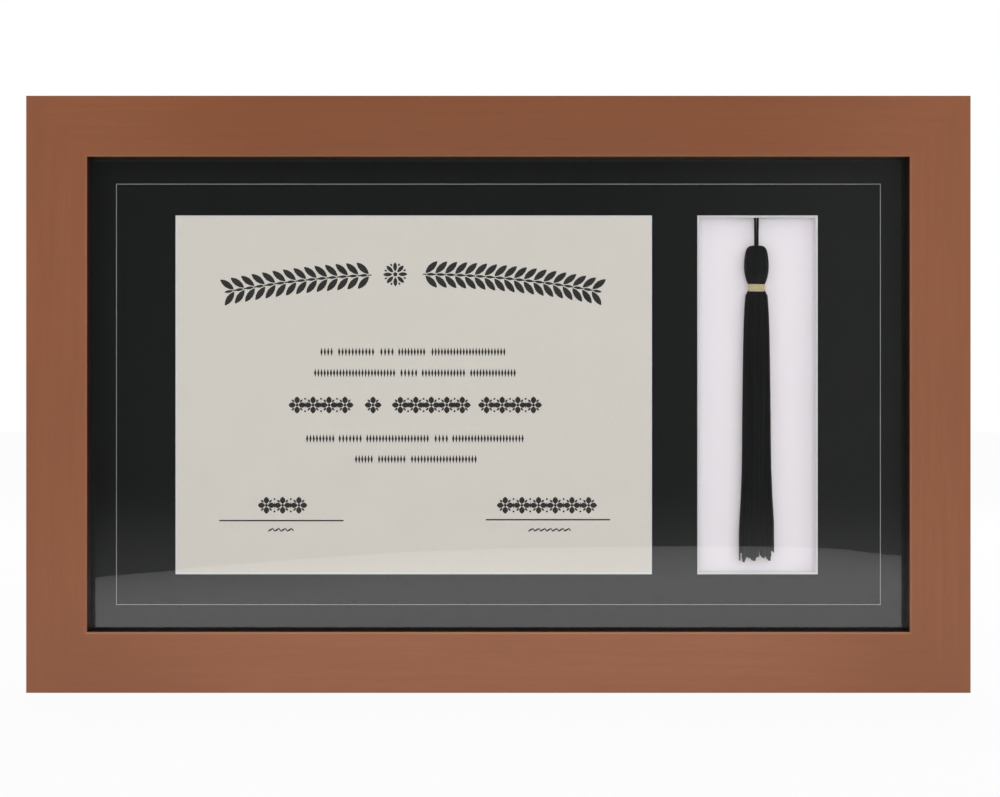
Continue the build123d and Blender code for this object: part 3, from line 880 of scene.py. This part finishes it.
def lines_of(name, lines, closed=False):
    """A curve whose splines run straight from place to place."""
    curve = bpy.data.curves.new(name, "CURVE")
    curve.dimensions = "3D"
    for line in lines:
        spline = curve.splines.new("POLY")
        spline.points.add(len(line) - 1)
        for point, place in zip(spline.points, line):
            point.co = (*place, 1)
        spline.use_cyclic_u = closed
    return curve


def level_lines(row, *spans):
    """Level lines at one row of the photograph, each from a column to a column."""
    return [[on_sheet(first, row), on_sheet(last, row)] for first, last in spans]


def arched(first, last, steps=24):
    """Part of the arch that the laurel follows, between two distances from its middle."""
    middle_x, middle_height, radius = -0.0479, -0.3283, 0.5637
    line = []
    for step in range(steps + 1):
        angle = (first + (last - first) * step / steps) / radius
        line.append((middle_x + radius * math.sin(angle), middle_height + radius * math.cos(angle)))
    return line


printed_row = row_tree()


def print_row(name, motif_outlines, lines, pitch):
    """Print one motif along lines, as one thin piece of ink on the certificate."""
    motif = printed_shape(name + "_motif", motif_outlines)
    route = lines_of(name, [[(x, 0, z) for x, z in line] for line in lines])
    row = grow(name, route, printed_row, Motif=motif, Pitch=pitch)
    bpy.data.objects.remove(motif)
    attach(row, "frame")


# Laurel on the arch: two branches that grow away from a rosette
laurel = [
    leaf(0.0006, 0.0007, 0.80, 0.0094, 0.0036),
    leaf(0.0006, -0.0007, -0.80, 0.0094, 0.0036),
    leaf(0.0010, 0.0, 0.0, 0.0052, 0.0016),
    bar(0.0, 0.0, 0.0018, 0.0007),
]
branches = [arched(-0.0250, -0.1020), arched(0.0060, 0.1010)]
print_row("printed_laurel", laurel, branches, pitch=0.0055)
rosette = ring_of(8, 0.0017, 0.0052, 0.0023) + ring_of(8, 0.0050, 0.0016, 0.0011, math.pi / 8)
rosette.append(disc(0, 0, 0.0012))
print_row("printed_rosettes", rosette, [arched(-0.0106, -0.0105, 1)], pitch=0.02)

# Quatrefoils with a slim lozenge between each two, in the heavier rows
quatrefoil_pitch = 0.0085
quatrefoil = ring_of(4, 0.0008, 0.0040, 0.0032) + ring_of(4, 0.0022, 0.0022, 0.0011, math.pi / 4)
quatrefoil.append(disc(0, 0, 0.0008))
quatrefoil_lines = level_lines(405, (297.6, 345.4), (373.4, 373.6), (400.6, 462.4), (486.6, 533.4))
quatrefoil_lines += level_lines(505, (267, 299.4), (505.2, 588.4))
print_row("printed_quatrefoils", quatrefoil, quatrefoil_lines, quatrefoil_pitch)

tipped_lozenge = [lozenge(0, 0, 0.0010, 0.0042), disc(0, 0.0035, 0.0006, 8), disc(0, -0.0035, 0.0006, 8)]
lozenge_lines = []
for (first, height), (last, _) in quatrefoil_lines:
    gaps = int((last - first) / quatrefoil_pitch)
    if gaps:
        trim = (last - first) / gaps / 2
        lozenge_lines.append([(first + trim, height), (last - trim, height)])
print_row("printed_lozenges", tipped_lozenge, lozenge_lines, quatrefoil_pitch)

# Beading in the lighter rows, and a row of waves under each rule
beading_lines = level_lines(
    352, (322, 332), (339.6, 373.3), (381.7, 392.7), (399.5, 424.3), (432.7, 504.3)
)
beading_lines += level_lines(373, (315.7, 394.3), (401.8, 416.3), (423, 464), (471.3, 514.6))
beading_lines += level_lines(
    438.5, (307.7, 333.7), (340.2, 360.9), (367.6, 427.8), (435.9, 446.9), (453.4, 522.5)
)
beading_lines += level_lines(459, (356.5, 372), (379.4, 404.5), (412.3, 475.6))
print_row("printed_beading", [lozenge(0, 0, 0.00135, 0.0050)], beading_lines, pitch=0.00175)
wave = [leaf(-0.0016, -0.0010, 0.55, 0.0036, 0.0010), leaf(0.0009, 0.0012, -0.9, 0.0026, 0.0007)]
print_row("printed_waves", wave, level_lines(529.5, (271, 290), (530.5, 566.5)), pitch=0.0031)

# Two rules
rule_height = 0.0008
rules = []
for first, last, row in ((220, 344, 520.3), (485.8, 609.8, 519.4)):
    rule_x, rule_z = on_sheet((first + last) / 2, row)
    rules.append(bar(rule_x, rule_z, (last - first) * pixel, rule_height))
printed_rules = printed_shape("printed_rules", rules)
printed_rules.data.materials.append(black_ink)
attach(printed_rules, "frame")


# Backing: brown hardboard, cut to lie inside the rabbet behind the card, where the turn
# buttons hold it. Its rough side, with the mesh mark of the press, faces out.
weave_pitch = 0.0016


def hardboard_finish():
    """Pressed brown fibre, clouded, with the press's mesh in its surface."""
    material, tree, shader = new_finish("bare_hardboard", Specular_IOR_Level=0.25)
    place = own_place(tree)
    x, _, z = put(tree, "ShaderNodeSeparateXYZ", {0: place}).outputs
    ripples = [
        sum_of(tree, "SINE", sum_of(tree, "MULTIPLY", way, math.tau / weave_pitch)) for way in (x, z)
    ]
    weave = sum_of(tree, "MULTIPLY", *ripples)
    fibre = noise(tree, place, 700.0, 5.0, Distortion=0.8)
    cloud = noise(tree, place, 22.0, 3.0)
    shade = sum_of(tree, "MULTIPLY_ADD", cloud, 0.14, sum_of(tree, "MULTIPLY", fibre, 0.86))
    paint = mixed(tree, between(tree, shade, 0.3, 0.7), colour(104, 75, 52), colour(156, 118, 84))
    rough = sum_of(tree, "MULTIPLY_ADD", fibre, 0.3, 0.62)
    height = sum_of(tree, "MULTIPLY_ADD", weave, 0.35, fibre)
    lead(tree, shader, paint, rough, height, strength=0.6, depth=0.0001)
    return material


dress(hardboard_finish(), "back_board")


# Turn buttons, hanger straps and V nails: steel stamped to shape and zinc plated, so it is
# bright with a faint spangle, and duller where hands and the die have rubbed it. The nails
# join the mitres from behind, and screws hold the buttons and the straps.
def plated_effect():
    """Zinc plate: soft spangle, fine scratches and a change of polish."""
    tree, given = new_effect("zinc_plate", Plate=(1, 1, 1, 1), Dull=0.3)
    place = own_place(tree)
    spangle = put(tree, "ShaderNodeTexVoronoi", {"Vector": place, "Scale": 420.0}).outputs["Color"]
    tint = put(tree, "ShaderNodeSeparateColor", {0: spangle}).outputs[0]
    scratch = noise(tree, vector_of(tree, "MULTIPLY", place, (5000, 5000, 260)), 1.0)
    cloud = noise(tree, place, 180.0, 3.0)
    shade = sum_of(tree, "MULTIPLY_ADD", tint, 0.12, 0.90)
    shade = sum_of(tree, "MULTIPLY_ADD", cloud, -0.1, shade)
    painted = shaded(tree, given["Plate"], shade)
    rough = sum_of(tree, "MULTIPLY_ADD", cloud, 0.18, given["Dull"])
    rough = sum_of(tree, "MULTIPLY_ADD", scratch, 0.08, rough)
    put(tree, "NodeGroupOutput", {"Colour": painted, "Roughness": rough, "Height": scratch})
    return tree


zinc_plate = plated_effect()


def plated_finish(name, plate, dull):
    """One plated steel finish."""
    plating = {"Plate": plate, "Dull": dull}
    return effect_finish(name, zinc_plate, plating, strength=0.15, depth=0.00002, Metallic=1.0)


stamped_steel = plated_finish("stamped_steel", colour(176, 179, 182), dull=0.3)
turn_buttons = [name for name in nodes if name.startswith("turn_button_") and name != "turn_button_screws"]
dress(stamped_steel, "v_nails", "hanger_strap_left", "hanger_strap_right", *turn_buttons)


# Screws: pan heads with a cross recess, one through each turn button and two through each
# hanger strap, driven straight into the back of the rails.
screw_head_radius, screw_head_high = 0.0031, 0.0017
screw_crown_radius, screw_rim_high = 0.0021, 0.0006
screw_shank_radius, screw_shank_length = 0.0016, 0.012
recess_mouth, recess_floor = (0.0019, 0.00042), (0.0008, 0.00026)
recess_depth, cutter_rise = 0.0012, 0.0004
button_seat, strap_seat = 0.0149, 0.01545
button_out, button_top, button_foot, button_side = 0.170, 0.3153, 0.0192, 0.2453
strap_out, strap_upper, strap_lower = 0.2504, 0.2420, 0.2300


def turned(name, profile, sides):
    """A solid of turning about the Y axis, from its radius at each place along the axis."""
    turns = [math.tau * step / sides for step in range(sides)]
    rounds = [
        [(radius * math.cos(turn), along, radius * math.sin(turn)) for turn in (turns if radius else [0])]
        for radius, along in profile
    ]
    return closed_piece(name, [rounds])


def cross_cutter(name):
    """The driver's cross, narrowing towards its point."""
    mouth, floor = screw_head_high + cutter_rise, screw_head_high - recess_depth
    arms = []
    for turn in (0, math.pi / 2):
        cosine, sine = math.cos(turn), math.sin(turn)
        arm = []
        for along, (long, wide) in ((mouth, recess_mouth), (floor, recess_floor)):
            corners = oblong(-long, long, -wide, wide)
            arm.append([(x * cosine - z * sine, along, x * sine + z * cosine) for x, z in corners])
        arms.append(arm)
    return closed_piece(name, arms)


# From the point up the shank, out under the head and over its rounded rim to the crown
screw_profile = [(0.0, -screw_shank_length), (0.0004, 0.0007 - screw_shank_length)]
screw_profile += [(screw_shank_radius * 0.8, 0.003 - screw_shank_length), (screw_shank_radius, -0.004)]
screw_profile += [(screw_shank_radius, 0.0), (screw_head_radius * 0.985, 0.0), (screw_head_radius, 0.0002)]
for step in range(1, 7):
    turn = math.pi / 2 * step / 6
    round_off = (screw_head_radius - screw_crown_radius) * math.cos(turn) if step < 6 else 0.0
    rise = (screw_head_high - screw_rim_high) * math.sin(turn)
    screw_profile.append((screw_crown_radius + round_off, screw_rim_high + rise))
screw_profile.append((0.0, screw_head_high + 0.00004))
pan_screw = turned("pan_screw", screw_profile, sides=40)
cutter = cross_cutter("driver_cross")
recess = pan_screw.modifiers.new("recess", "BOOLEAN")
recess.object = cutter
recess.solver = "EXACT"
recess.use_self = True


def screws_tree():
    """Screws set at points, each stopped at its own angle."""
    tree, given = new_growth("screws", Screw=None, Seed=1)
    stops = put(tree, "GeometryNodeMeshToPoints", {"Mesh": given["Geometry"]}).outputs[0]
    stop = put(tree, "FunctionNodeRandomValue", {"Seed": given["Seed"]}, data_type="FLOAT").outputs[1]
    set_in = set_at(tree, stops, given["Screw"], sum_of(tree, "MULTIPLY", stop, math.tau))
    return end_growth(tree, set_in, stamped_steel, smooth=False)


screws = screws_tree()
button_places = [
    (x, button_seat, z) for z in (button_top, button_foot) for x in (-button_out, 0.0, button_out)
]
button_places += [(x, button_seat, middle_z) for x in (-button_side, button_side)]
strap_places = [(x, strap_seat, z) for x in (-strap_out, strap_out) for z in (strap_upper, strap_lower)]
for name, places, replaced in (
    ("button_pan_screws", button_places, "turn_button_screws"),
    ("strap_pan_screws", strap_places, "hanger_screws"),
):
    stops = bpy.data.meshes.new(name + "_stops")
    stops.from_pydata(places, [], [])
    driven = grow(name, stops, screws, Screw=pan_screw, Seed=len(places))
    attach(driven, "frame")
    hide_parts(replaced)
bpy.data.objects.remove(pan_screw)
bpy.data.objects.remove(cutter)


# Hanger rings: hard-drawn plated wire bent to a D, with its ends butted inside the strap's
# eye, in which the ring turns.
ring_axis_y, ring_axis_z = 0.0159, 0.2625
ring_wide, ring_high, ring_corner, ring_wire = 0.0175, 0.0155, 0.0028, 0.00125
ring_tilt = math.radians(5)

drawn_wire = plated_finish("drawn_wire", colour(186, 189, 192), dull=0.2)


def ring_line(ring_x):
    """Centre line of the bent wire, as places in space."""
    half = ring_wide / 2
    bends = (
        (half - ring_corner, ring_corner, ring_corner, -math.pi / 2, 0, 8),
        (0.0, ring_high - half, half, 0, math.pi, 36),
        (ring_corner - half, ring_corner, ring_corner, math.pi, math.pi * 3 / 2, 8),
    )
    line = []
    for across, down, radius, first, last, steps in bends:
        for step in range(steps + 1):
            angle = first + (last - first) * step / steps
            x = ring_x + (across + radius * math.cos(angle))
            drop = down + radius * math.sin(angle)
            y = ring_axis_y + drop * math.sin(ring_tilt)
            line.append((x, y, ring_axis_z - drop * math.cos(ring_tilt)))
    return line


def wire_tree():
    """Round wire along a closed line."""
    tree, given = new_growth("bent_wire", Wire_Radius=0.001, Sides=20)
    round_wire = {"Resolution": given["Sides"], "Radius": given["Wire Radius"]}
    section = put(tree, "GeometryNodeCurvePrimitiveCircle", round_wire).outputs["Curve"]
    tube = put(tree, "GeometryNodeCurveToMesh", {"Curve": given["Geometry"], "Profile Curve": section})
    return end_growth(tree, tube.outputs["Mesh"], drawn_wire)


bent_wire = wire_tree()
for side, ring_x in (("left", -strap_out), ("right", strap_out)):
    route = lines_of("ring_" + side, [ring_line(ring_x)], closed=True)
    ring = grow("wire_ring_" + side, route, bent_wire, Wire_Radius=ring_wire, Sides=20)
    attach(ring, "hanger_ring_" + side)
    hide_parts("hanger_ring_" + side)


# Wall bumpers: clear soft polyurethane domes, cast with a flat foot and stuck on near the
# lower corners of the back, so that the frame hangs clear of the wall.
bumper_gel = clouded_finish(
    "clear_soft_bumper",
    scale=500.0,
    detail=3.0,
    dark=colour(206, 209, 208),
    light=colour(232, 234, 233),
    smoothest=0.2,
    Subsurface_Weight=0.5,
    Subsurface_Scale=0.002,
    Coat_Weight=0.3,
)
dress(bumper_gel, "wall_bumpers")


# Studio: a white table in front of a dark room with a dim floor and a white wall behind.
# The table ends in a bowed edge, which the glass mirrors in its lower part.
table_bow = [
    (-0.376, -0.661), (-0.362, -0.686), (-0.345, -0.705), (-0.320, -0.731), (-0.292, -0.778),
    (-0.198, -0.871), (-0.112, -0.949), (0.0015, -1.0), (0.112, -1.025), (0.178, -1.034),
    (0.221, -1.037), (0.290, -1.034), (0.355, -1.012), (0.377, -0.994), (0.393, -0.957),
    (0.407, -0.930), (0.426, -0.907),
]
table_edge = [(-4.0, 0.35), (-1.2, -0.35)] + table_bow + [(1.3, -0.60), (4.0, -0.35)]
table_back = [(4.0, 8.0, 0), (-4.0, 8.0, 0)]
rim_width = 0.4
edge_count = len(table_edge)
white = (1, 1, 1, 1)

table_places = [(x, y, 0) for x, y in table_edge] + [(x, y + rim_width, 0) for x, y in table_edge]
table_faces = [
    (step, step + 1, edge_count + step + 1, edge_count + step) for step in range(edge_count - 1)
]
table_faces.append(list(range(edge_count, 2 * edge_count + len(table_back))))
table_mesh = bpy.data.meshes.new("white_table")
table_mesh.from_pydata(table_places + table_back, [], table_faces)
rim = table_mesh.attributes.new("rim", "FLOAT", "POINT")
for number, item in enumerate(rim.data):
    item.value = 0.0 if number < edge_count else 1.0
white_table = stand("white_table", table_mesh)

table_paint, table_tree, table_shader = new_finish(
    "white_table_paint", Base_Color=(0.93, 0.93, 0.93, 1), Roughness=0.8, Specular_IOR_Level=0.2
)
table_rays = put(table_tree, "ShaderNodeLightPath").outputs

# Towards its front edge the table takes less light, which the glass shows as a fade
rim_share = put(table_tree, "ShaderNodeAttribute", attribute_name="rim").outputs["Fac"]
fade = sum_of(table_tree, "MULTIPLY_ADD", sum_of(table_tree, "SQRT", rim_share), 0.45, -0.45)
glow = sum_of(table_tree, "MULTIPLY_ADD", fade, table_rays["Is Glossy Ray"], 1.0)
table_glow = put(table_tree, "ShaderNodeEmission", {"Color": white, "Strength": glow}).outputs[0]

# It looks white to the camera and in the glass, and still takes the frame's shadow
seen = sum_of(table_tree, "MAXIMUM", table_rays["Is Camera Ray"], table_rays["Is Transmission Ray"])
seen = sum_of(table_tree, "MULTIPLY", seen, 0.93)
seen = sum_of(table_tree, "MAXIMUM", seen, table_rays["Is Glossy Ray"])
table_whole = blend_shaders(table_tree, seen, table_shader.outputs[0], table_glow)
table_tree.links.new(table_whole, table_tree.nodes["Material Output"].inputs["Surface"])
table_mesh.materials.append(table_paint)

room = bpy.data.worlds.new("room")
bpy.context.scene.world = room
room.use_nodes = True
room_tree = room.node_tree
room_tree.nodes.clear()
room_way = put(room_tree, "ShaderNodeTexCoord").outputs["Generated"]
room_x, room_y, room_z = put(room_tree, "ShaderNodeSeparateXYZ", {0: room_way}).outputs

# The glass mirrors the dark room, lighter towards the wall and the right, and a dim floor
room_dark = between(room_tree, room_y, -0.6, -0.05, 0.02, 0.92)
room_right = between(room_tree, room_x, 0.03, 0.22, 0.0, 0.08)
dim_floor = between(room_tree, room_z, -0.045, -0.10, 0.0, 0.19)
mirrored = sum_of(room_tree, "ADD", sum_of(room_tree, "ADD", room_dark, room_right), dim_floor)
mirrored_room, white_room, soft_room = [
    put(room_tree, "ShaderNodeBackground", {"Color": white, "Strength": strength}).outputs[0]
    for strength in (mirrored, 1.0, 0.66)
]
room_rays = put(room_tree, "ShaderNodeLightPath").outputs
shown = sum_of(room_tree, "MAXIMUM", room_rays["Is Camera Ray"], room_rays["Is Transmission Ray"])
lit = blend_shaders(room_tree, shown, soft_room, white_room)
whole = blend_shaders(room_tree, room_rays["Is Glossy Ray"], lit, mirrored_room)
put(room_tree, "ShaderNodeOutputWorld", {"Surface": whole})

# The front box lights the frame, but shows neither in the glass nor through it
lamp_goal = (0, 0, 0.16)
for name, place, watts, wide, tall in (
    ("soft_box_front", (0.03, -1.6, 0.20), 9.8, 0.9, 0.5),
    ("soft_box_right", (1.2, -1.2, 0.8), 2.9, 0.9, 0.9),
    ("soft_box_left", (-1.3, -1.1, 0.8), 2.2, 0.9, 0.9),
    ("soft_box_back", (0.3, 1.6, 1.2), 9.0, 1.2, 0.8),
):
    lamp = stand(name, bpy.data.lights.new(name, "AREA"))
    lamp.data.shape = "RECTANGLE"
    lamp.data.energy = watts
    lamp.data.size = wide
    lamp.data.size_y = tall
    lamp.location = place
    lamp.visible_glossy = lamp.visible_transmission = name != "soft_box_front"
    aim = [goal - start for goal, start in zip(lamp_goal, place)]
    level = math.hypot(aim[0], aim[1])
    lamp.rotation_euler = (math.atan2(level, -aim[2]), 0, math.atan2(aim[1], aim[0]) - math.pi / 2)

bpy.context.scene.view_settings.view_transform = "Standard"
